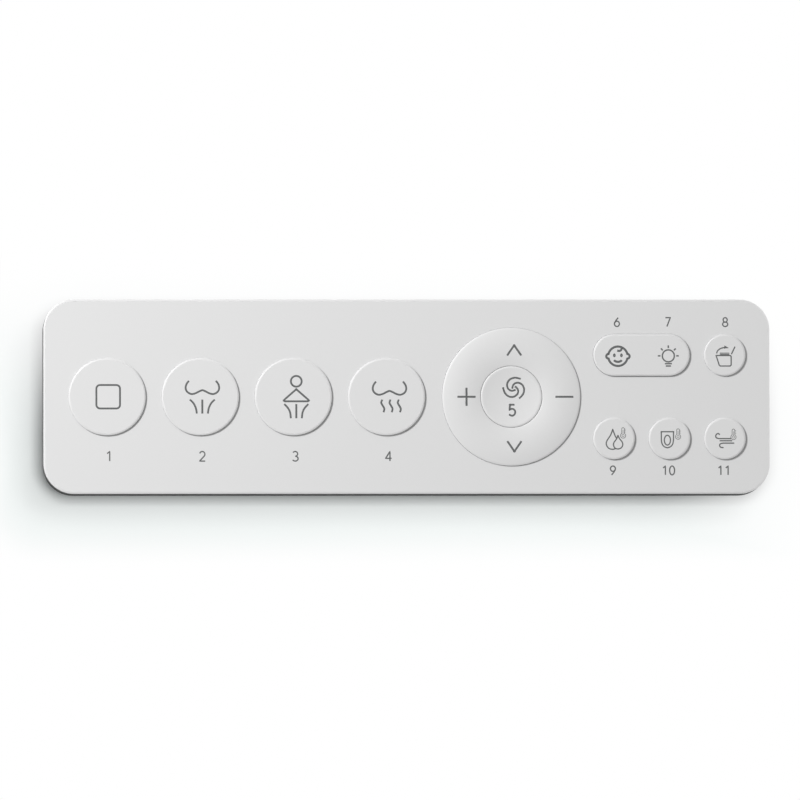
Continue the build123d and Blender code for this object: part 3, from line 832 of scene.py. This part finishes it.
class REMOTE_OT_front_panel(bpy.types.Operator):
    """Front panel: a plate with a bevelled front edge and an opening for each key"""

    bl_idname = "remote.front_panel"
    bl_label = "Front panel"

    def execute(self, context):
        sizes = context.scene.remote_sizes
        low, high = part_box("front_panel")
        back, front = heights("front_panel")
        half_x, half_z = (high.x - low.x) / 2, (high.z - low.z) / 2
        mesh = bmesh.new()

        def outline(inset):
            return rounded_rectangle(half_x - inset, half_z - inset, sizes.panel_corner - inset, CORNER_STEPS)

        def rolled(points_at, profile, flare=0.0):
            """First and last loop of an outline, from the flat front over its edge to the back."""
            levels = [(profile[0][0] - PANEL_STRIP, front), *profile]
            levels += [(-flare, (front + 2 * back) / 3), (-flare, back)]
            loops = [loop(mesh, points_at(-away), height) for away, height in levels]
            skin(mesh, loops)
            return loops[0], loops[-1]

        soft = rounding(0.0, front, sizes.hole_edge)
        ends = [rolled(outline, shoulder(0.0, front, sizes.panel_edge, sizes.panel_slope))]
        for keys, key_radius, steps, _ in key_groups(sizes):
            radius = key_radius + sizes.key_gap
            for key in keys:
                at = middle(key + "_button")
                ends.append(rolled(lambda inset: circle(at, radius + inset, steps), soft))
        at = middle("dpad_ring")
        radius = sizes.ring_diameter / 2 + sizes.ring_draft + sizes.ring_gap
        ends.append(rolled(lambda inset: circle(at, radius + inset, RING_STEPS), soft, sizes.hole_flare))
        at, run = middle("child_light_rocker"), rocker_run(sizes)
        radius = sizes.small_diameter / 2 + sizes.rocker_draft + sizes.rocker_gap
        pill = rolled(lambda inset: stadium(at, run, radius + inset, PILL_STEPS), soft, sizes.hole_flare)
        ends.append(pill)
        for loops in zip(*ends):
            fill(mesh, loops)
        piece("panel_plate", mesh, "case", "front_panel", panel_finish(), ["front_panel"])
        return {"FINISHED"}


def hollow_key(mesh, at, radius, node, plunger_radius, steps, sizes):
    """Turned key: bevelled top, straight side, flange, hollow and plunger."""
    low, high = heights(node)
    flange_low = low + sizes.plunger_drop
    flange_high = flange_low + sizes.flange_thickness
    roof = high - sizes.key_roof
    profile = [(0.0, high), (radius / 2, high), (radius - sizes.key_edge - KEY_STRIP, high)]
    profile += shoulder(radius, high, sizes.key_edge, sizes.key_slope)
    profile += [(radius, flange_high), (radius + sizes.flange_width, flange_high)]
    profile += [(radius + sizes.flange_width, flange_low), (radius - sizes.key_wall, flange_low)]
    profile += [(radius - sizes.key_wall, roof), (plunger_radius, roof), (plunger_radius, low), (0.0, low)]
    turned(mesh, profile, at, steps)


class REMOTE_OT_round_keys(bpy.types.Operator):
    """Round keys: turned hollow caps, four large and four small"""

    bl_idname = "remote.round_keys"
    bl_label = "Round keys"

    def execute(self, context):
        sizes = context.scene.remote_sizes
        for keys, radius, steps, plunger_radius in key_groups(sizes):
            for key in keys:
                node = key + "_button"
                mesh = bmesh.new()
                hollow_key(mesh, middle(node), radius, node, plunger_radius, steps, sizes)
                piece(key + "_cap", mesh, key + "_key", "key_silver", key_finish(), [node])
        return {"FINISHED"}


class REMOTE_OT_four_way_ring(bpy.types.Operator):
    """Four-way ring: a crowned ring with bevelled edges, hollow below, and four plungers"""

    bl_idname = "remote.four_way_ring"
    bl_label = "Four-way ring"

    def execute(self, context):
        sizes = context.scene.remote_sizes
        at = middle("dpad_ring")
        face = heights("front_panel")[1]
        low = heights("dpad_ring")[0]
        outer = sizes.ring_diameter / 2
        inner = sizes.flush_diameter / 2 + sizes.flush_gap
        rim = face + sizes.ring_rim
        half, rise = (outer - inner) / 2, sizes.ring_crown
        bow = (half * half + rise * rise) / (2 * rise)

        def crown_height(radius):
            """Height of the crown, an arc from rim to rim."""
            return rim + rise - bow + sqrt(bow**2 - (radius - inner - half) ** 2)

        start, end = outer - sizes.ring_edge, inner + sizes.ring_lip
        outer_edge = shoulder(outer, crown_height(start), sizes.ring_edge, sizes.ring_slope)[::-1]
        crown_steps = 32
        places = [start + (end - start) * step / crown_steps for step in range(1, crown_steps)]
        crown = [(radius, crown_height(radius)) for radius in places]
        lip = shoulder(outer, crown_height(end), sizes.ring_lip, sizes.ring_slope)
        inner_edge = [(outer + inner - radius, height) for radius, height in lip]
        wall, roof_drop = 1.6 * MM, 0.6 * MM
        plunger_radius, plunger_inset = 1.7 * MM, 1.9 * MM
        roof = face - roof_drop
        flange, foot = outer + sizes.flange_width, outer + sizes.ring_draft
        flange_low = heights("dpad_cushion_ring")[1]
        flange_high = flange_low + sizes.flange_thickness
        profile = outer_edge + crown + inner_edge
        profile += [(inner, flange_low), (inner + wall, flange_low), (inner + wall, roof)]
        profile += [(outer - wall, roof), (outer - wall, flange_low), (flange, flange_low)]
        profile += [(flange, flange_high), (foot, flange_high), (foot, face)]
        mesh = bmesh.new()
        turned(mesh, profile, at, RING_STEPS, closed=True)
        reach = outer - wall - plunger_inset
        for turn in (0, pi / 2, pi, 3 * pi / 2):
            spot = (at[0] + reach * cos(turn), at[1] + reach * sin(turn))
            plunger(mesh, spot, plunger_radius, roof, low)
        piece("four_way_cap", mesh, "dpad", "key_silver", key_finish(), ["dpad_ring"])
        return {"FINISHED"}


class REMOTE_OT_flush_key(bpy.types.Operator):
    """Flush key: a round dished cap on a hollow stem inside the ring"""

    bl_idname = "remote.flush_key"
    bl_label = "Flush key"

    def execute(self, context):
        sizes = context.scene.remote_sizes
        radius = sizes.flush_diameter / 2
        low, high = heights("flush_button")
        cap_thickness, plunger_radius = 1.4 * MM, 2.6 * MM
        stem_inset, foot_inset, dish_steps = 2.75 * MM, 1.85 * MM, 24
        cap, stem, foot = high - cap_thickness, radius - stem_inset, radius - foot_inset
        flange_low = low + sizes.plunger_drop
        flange_high = flange_low + sizes.flange_thickness
        reach = radius - sizes.flush_edge - sizes.flush_land
        bow = (reach**2 + sizes.flush_dish**2) / (2 * sizes.flush_dish)
        steps = [reach * step / dish_steps for step in range(dish_steps + 1)]
        profile = [(out, high - sizes.flush_dish + bow - sqrt(bow**2 - out**2)) for out in steps]
        profile += shoulder(radius, high, sizes.flush_edge, sizes.key_slope)
        profile += [(radius, cap), (stem, cap), (stem, flange_high), (foot, flange_high), (foot, flange_low)]
        profile += [(stem - sizes.key_wall, flange_low), (stem - sizes.key_wall, cap), (plunger_radius, cap)]
        profile += [(plunger_radius, low), (0.0, low)]
        mesh = bmesh.new()
        turned(mesh, profile, middle("flush_button"), MAIN_STEPS)
        piece("flush_cap", mesh, "flush_key", "key_silver", key_finish(), ["flush_button"])
        return {"FINISHED"}


class REMOTE_OT_rocker(bpy.types.Operator):
    """Rocker: a hollow pill-shaped cap on two pins, with a plunger under each half"""

    bl_idname = "remote.rocker"
    bl_label = "Rocker key"

    def execute(self, context):
        sizes = context.scene.remote_sizes
        at = middle("child_light_rocker")
        box_low, box_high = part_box("child_light_rocker")
        low, high = heights("child_light_rocker")
        radius, run = sizes.small_diameter / 2, rocker_run(sizes)
        inner, foot = radius - sizes.key_wall, radius + sizes.rocker_draft
        skirt, plunger_radius = 2.6 * MM, 2.0 * MM
        pin_radius, pin_drop, pin_root = 0.7 * MM, 0.9 * MM, 0.8 * MM
        frame_top = heights("key_frame")[1]
        bottom, roof = frame_top - skirt, high - sizes.key_roof
        profile = [(radius - sizes.key_edge - KEY_STRIP, high)]
        profile += shoulder(radius, high, sizes.key_edge, sizes.key_slope)
        profile += [(foot, heights("front_panel")[1]), (foot, bottom), (inner, bottom), (inner, roof)]
        mesh = bmesh.new()
        loops = [loop(mesh, stadium(at, run, out, PILL_STEPS), height) for out, height in profile]
        skin(mesh, loops)
        mesh.faces.new(loops[0])
        mesh.faces.new(loops[-1])
        for side, end in ((-1, box_low.z), (1, box_high.z)):
            plunger(mesh, (at[0] + side * run, at[1]), plunger_radius, roof, low)
            start = at[1] + side * (radius - pin_root)
            size = {"radius1": pin_radius, "radius2": pin_radius, "depth": abs(end - start)}
            spot = Matrix.Translation((at[0], pin_drop - frame_top, (start + end) / 2))
            bmesh.ops.create_cone(mesh, cap_ends=True, segments=PLUNGER_STEPS, matrix=spot, **size)
        piece("rocker_cap", mesh, "rocker", "key_silver", key_finish(), ["child_light_rocker"])
        return {"FINISHED"}


class REMOTE_OT_signs(bpy.types.Operator):
    """Signs: ink lines on every key"""

    bl_idname = "remote.signs"
    bl_label = "Printed signs"

    def execute(self, context):
        sizes = context.scene.remote_sizes
        things = bpy.data.objects
        main = {"stop": square_sign, "rear_wash": rear_sign, "front_wash": front_sign, "dryer": dryer_sign}
        small = {"lid": lid_sign, "water_temp": water_sign, "seat_temp": seat_sign, "air_temp": air_sign}
        for signs, width in ((main, sizes.main_line), (small, sizes.small_line)):
            for key, sign in signs.items():
                at = sign_place(key + "_button")
                printed(key + "_sign", sign(), at, width, things[key + "_cap"], key + "_key")
        at = sign_place("dpad_ring")
        printed("four_way_sign", ring_sign(), at, sizes.ring_line, things["four_way_cap"], "dpad", cuts=8)
        # The number under the swirl is a little taller than those on the panel
        tall = sizes.number_height / MM * 1.15
        lines = [*flush_sign(), *number(5, (0.0, -3.9), tall)]
        printed("flush_sign", lines, at, sizes.main_line, things["flush_cap"], "flush_key")
        at = sign_place("child_light_rocker")
        lines = child_sign() + light_sign()
        printed("rocker_sign", lines, at, sizes.small_line, things["rocker_cap"], "rocker")
        return {"FINISHED"}


class REMOTE_OT_numbers(bpy.types.Operator):
    """Numbers: a plain number on the panel beside each key"""

    bl_idname = "remote.numbers"
    bl_label = "Printed numbers"

    def execute(self, context):
        sizes = context.scene.remote_sizes
        # Heights of the figures and of their rows on the face, in millimetres
        tall = sizes.number_height / MM
        short = tall * 0.92
        main_row, top_row, low_row = -18.0, 22.5, -22.3
        spots = [(value, key + "_button", 0.6, main_row, tall) for value, key in enumerate(MAIN_KEYS, 1)]
        spots.append((6, "child_light_rocker", -7.4, top_row, short))
        spots.append((7, "child_light_rocker", 8.0, top_row, short))
        spots.append((8, "lid_button", 0.2, top_row, short))
        for value, key in enumerate(SMALL_KEYS[1:], 9):
            spots.append((value, key + "_button", -0.3, low_row, short))
        lines = []
        for value, node, across, row, size in spots:
            lines += number(value, (middle(node)[0] / MM + across, row), size)
        panel = bpy.data.objects["panel_plate"]
        printed("panel_numbers", lines, (0.0, 0.0), sizes.number_line, panel, "case", cuts=0)
        return {"FINISHED"}


def smooth_tree():
    """Node tree that joins a CAD mesh's triangles and shades its curves smooth."""
    name = "smooth_curves"
    if name in bpy.data.node_groups:
        return bpy.data.node_groups[name]
    tree = group_tree(name, {"Geometry": "Geometry"})
    given = add(tree, "NodeGroupInput")[0]
    joined = add(tree, "GeometryNodeMergeByDistance", {"Geometry": given, "Distance": 0.001 * MM})[0]
    shaded = {"Geometry": joined, "Shade Smooth": True}
    faces = add(tree, "GeometryNodeSetShadeSmooth", shaded, domain="FACE")[0]
    angle = add(tree, "GeometryNodeInputMeshEdgeAngle")["Unsigned Angle"]
    limit = {"A": angle, "B": FRAME_SHARP}
    soft = add(tree, "FunctionNodeCompare", limit, data_type="FLOAT", operation="LESS_THAN")["Result"]
    shaded = {"Geometry": faces, "Shade Smooth": soft}
    edges = add(tree, "GeometryNodeSetShadeSmooth", shaded, domain="EDGE")[0]
    add(tree, "NodeGroupOutput", {"Geometry": edges})
    return tree


def dress(nodes, finish):
    """Gives CAD nodes their material and smooth curves."""
    for name in nodes:
        thing = frame["nodes"][name]
        thing.data.materials.clear()
        thing.data.materials.append(finish)
        thing.modifiers.new("smooth", "NODES").node_group = smooth_tree()


class REMOTE_OT_case(bpy.types.Operator):
    """Case: housing, battery door, gasket, screws and plugs"""

    bl_idname = "remote.case"
    bl_label = "Case"

    def execute(self, context):
        dress(["rear_housing", "battery_door"], housing_finish())
        dress(["perimeter_gasket", "screw_plugs"], silicone_finish())
        dress(["case_screws"], screw_finish())
        return {"FINISHED"}


class REMOTE_OT_inside(bpy.types.Operator):
    """Inside: key frame, keypad mat, board, its parts, and the cells with their contacts"""

    bl_idname = "remote.inside"
    bl_label = "Inside"

    def execute(self, context):
        dress(["key_frame", "dpad_guide_collar"], frame_finish())
        dress(["keypad_mat", "dpad_cushion_ring"], silicone_finish())
        dress(["main_board"], board_finish())
        dress(["contact_pads"], pad_finish())
        dress(["controller_chip"], chip_finish())
        dress(["radio_module", "crystal"], shield_finish())
        dress(["board_capacitors"], ceramic_finish())
        dress(["battery_contact_plate", "battery_contact_spring"], contact_finish())
        dress(["battery_left", "battery_right"], sleeve_finish())
        return {"FINISHED"}


def lamp(name, power, size, at, aim, things):
    """Square studio lamp that looks at a point and lights only these things."""
    data = bpy.data.lights.new(name, "AREA")
    data.energy = power
    data.size = size
    made = linked(name, data)
    made.location = at
    made.rotation_euler = (Vector(aim) - Vector(at)).to_track_quat("-Z", "Y").to_euler()
    group = bpy.data.collections.new(name + "_lights")
    for thing in things:
        group.objects.link(thing)
    made.light_linking.receiver_collection = group


def seen(tree):
    """One for rays from the camera and for those that mirror or pass through something."""
    path = add(tree, "ShaderNodeLightPath")
    direct = calc(tree, "MAXIMUM", path["Is Camera Ray"], path["Is Glossy Ray"])
    return calc(tree, "MAXIMUM", direct, path["Is Transmission Ray"])


def whitening(tree, halves, shift, start, end):
    """Share of plain white by the distance on the wall from a box that is shifted to the lower left."""
    at = add(tree, "ShaderNodeSeparateXYZ", {0: add(tree, "ShaderNodeTexCoord")["Object"]})
    away = []
    for axis, half, move in zip("XZ", halves, shift):
        size = calc(tree, "ABSOLUTE", calc(tree, "ADD", at[axis], move))
        beyond = calc(tree, "MAXIMUM", calc(tree, "SUBTRACT", size, half), 0.0)
        away.append(calc(tree, "POWER", beyond, 2.0))
    distance = calc(tree, "SQRT", calc(tree, "ADD", *away))
    fade = {"Value": distance, "From Min": start, "From Max": end}
    return add(tree, "ShaderNodeMapRange", fade, interpolation_type="SMOOTHSTEP")["Result"]


def wall_paint(halves):
    """Matt white wall paint: it takes the shadow by the object and is plain white further off."""
    made = bpy.data.materials.new("matt_white_wall_paint")
    tree = fresh_tree(made)
    slow = whitening(tree, halves, shift=(38 * MM, 45 * MM), start=1 * MM, end=59 * MM)
    quick = whitening(tree, halves, shift=(0.0, 0.0), start=8 * MM, end=22 * MM)
    fade = calc(tree, "MULTIPLY", calc(tree, "MAXIMUM", slow, quick), seen(tree))
    paint = add(tree, "ShaderNodeBsdfDiffuse", {"Color": (*tone("wall"), 1.0)})[0]
    white = add(tree, "ShaderNodeEmission", {"Color": (1, 1, 1, 1), "Strength": 1.0})[0]
    front = add(tree, "ShaderNodeMixShader", {0: fade, 1: paint, 2: white})[0]
    clear = add(tree, "ShaderNodeBsdfTransparent")[0]
    behind = add(tree, "ShaderNodeNewGeometry")["Backfacing"]
    both = add(tree, "ShaderNodeMixShader", {0: behind, 1: front, 2: clear})[0]
    add(tree, "ShaderNodeOutputMaterial", {"Surface": both})
    return made


def studio_sky():
    """World that lights softly and is seen as plain white."""
    world = bpy.data.worlds.new("studio")
    tree = fresh_tree(world)
    dim = add(tree, "ShaderNodeBackground", {"Color": (1, 1, 1, 1), "Strength": 0.3})[0]
    white = add(tree, "ShaderNodeBackground", {"Color": (1, 1, 1, 1), "Strength": 1.0})[0]
    sky = add(tree, "ShaderNodeMixShader", {0: seen(tree), 1: dim, 2: white})[0]
    add(tree, "ShaderNodeOutputWorld", {"Surface": sky})
    return world


def white_wall(half_width, behind):
    """Square of wall a little behind the object, which takes its shadow and casts no light on it."""
    corners = [(x * half_width, z * half_width) for x, z in ((-1, -1), (1, -1), (1, 1), (-1, 1))]
    mesh = bmesh.new()
    mesh.faces.new(loop(mesh, corners, -behind))
    data = bpy.data.meshes.new("wall")
    mesh.to_mesh(data)
    mesh.free()
    data.materials.append(wall_paint((CAD_BOX[1][0], CAD_BOX[1][2])))
    wall = linked("wall", data)
    wall.visible_shadow = False
    wall.visible_diffuse = False
    return wall


def long_camera(aim, distance, turn, drop, roll):
    """Camera with a long lens that looks at a point from lower left."""
    data = bpy.data.cameras.new("camera")
    data.lens = 1000
    data.sensor_width = 36
    away = Vector((-sin(turn) * cos(drop), -cos(turn) * cos(drop), -sin(drop)))
    eye = linked("camera", data)
    eye.location = aim + distance * away
    level = (-away).to_track_quat("-Z", "Y").to_matrix()
    eye.rotation_euler = (level @ Matrix.Rotation(-roll, 3, "Z")).to_euler()
    return eye


class REMOTE_OT_stage(bpy.types.Operator):
    """Stage: a white wall, studio lamps, the sky and the camera"""

    bl_idname = "remote.stage"
    bl_label = "Stage"

    def execute(self, context):
        scene = context.scene
        scene.view_settings.view_transform = "Standard"
        scene.world = studio_sky()
        wall = white_wall(half_width=0.6, behind=0.2 * MM)
        shown = [thing for thing in scene.objects if thing.type == "MESH" and thing is not wall]
        face = heights("front_panel")[1]
        front, middle_back = (0.0, -face, 0.0), (0.0, 0.0, 0.0)
        # Each lamp's power in watts, its width and place in metres, where it looks and what it lights
        lamp("key_lamp", 20.0, 0.3, (-0.87, -1.0, 0.61), front, shown)
        lamp("near_wall_lamp", 7.8, 0.34, (0.005, -1.1, 0.037), middle_back, [wall])
        lamp("side_wall_lamp", 2.9, 0.46, (0.366, -1.0, 0.357), middle_back, [wall])
        lamp("edge_lamp", 7.0, 0.08, (1.0, 0.03, 0.0), middle_back, [scene.objects["panel_plate"]])
        lamp("back_lamp", 14.0, 0.6, (-0.6, 1.0, 0.7), middle_back, shown)
        aim = Vector((-2.06 * MM, -face, -1.03 * MM))
        turns = {"turn": radians(2.45), "drop": radians(3.0), "roll": radians(0.13)}
        scene.camera = long_camera(aim, distance=6.697, **turns)
        return {"FINISHED"}


STEPS = (
    REMOTE_OT_front_panel,
    REMOTE_OT_round_keys,
    REMOTE_OT_four_way_ring,
    REMOTE_OT_flush_key,
    REMOTE_OT_rocker,
    REMOTE_OT_signs,
    REMOTE_OT_numbers,
    REMOTE_OT_case,
    REMOTE_OT_inside,
    REMOTE_OT_stage,
)


class REMOTE_PT_sidebar(bpy.types.Panel):
    """Sidebar panel with the steps, sizes and colours"""

    bl_idname = "REMOTE_PT_sidebar"
    bl_label = "Wall remote"
    bl_space_type = "VIEW_3D"
    bl_region_type = "UI"
    bl_category = "Wall remote"

    def draw(self, context):
        for step in STEPS:
            self.layout.operator(step.bl_idname)
        for group in (context.scene.remote_sizes, context.scene.remote_colours):
            for name in group.__annotations__:
                self.layout.prop(group, name)


CLASSES = (RemoteSizes, RemoteColours, *STEPS, REMOTE_PT_sidebar)


def register():
    for item in CLASSES:
        bpy.utils.register_class(item)
    bpy.types.Scene.remote_sizes = bpy.props.PointerProperty(type=RemoteSizes)
    bpy.types.Scene.remote_colours = bpy.props.PointerProperty(type=RemoteColours)


def unregister():
    del bpy.types.Scene.remote_colours
    del bpy.types.Scene.remote_sizes
    for item in reversed(CLASSES):
        bpy.utils.unregister_class(item)


def main():
    register()
    bpy.ops.remote.front_panel()
    bpy.ops.remote.round_keys()
    bpy.ops.remote.four_way_ring()
    bpy.ops.remote.flush_key()
    bpy.ops.remote.rocker()
    bpy.ops.remote.signs()
    bpy.ops.remote.numbers()
    bpy.ops.remote.case()
    bpy.ops.remote.inside()
    bpy.ops.remote.stage()
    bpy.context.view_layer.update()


if __name__ == "__main__":
    main()
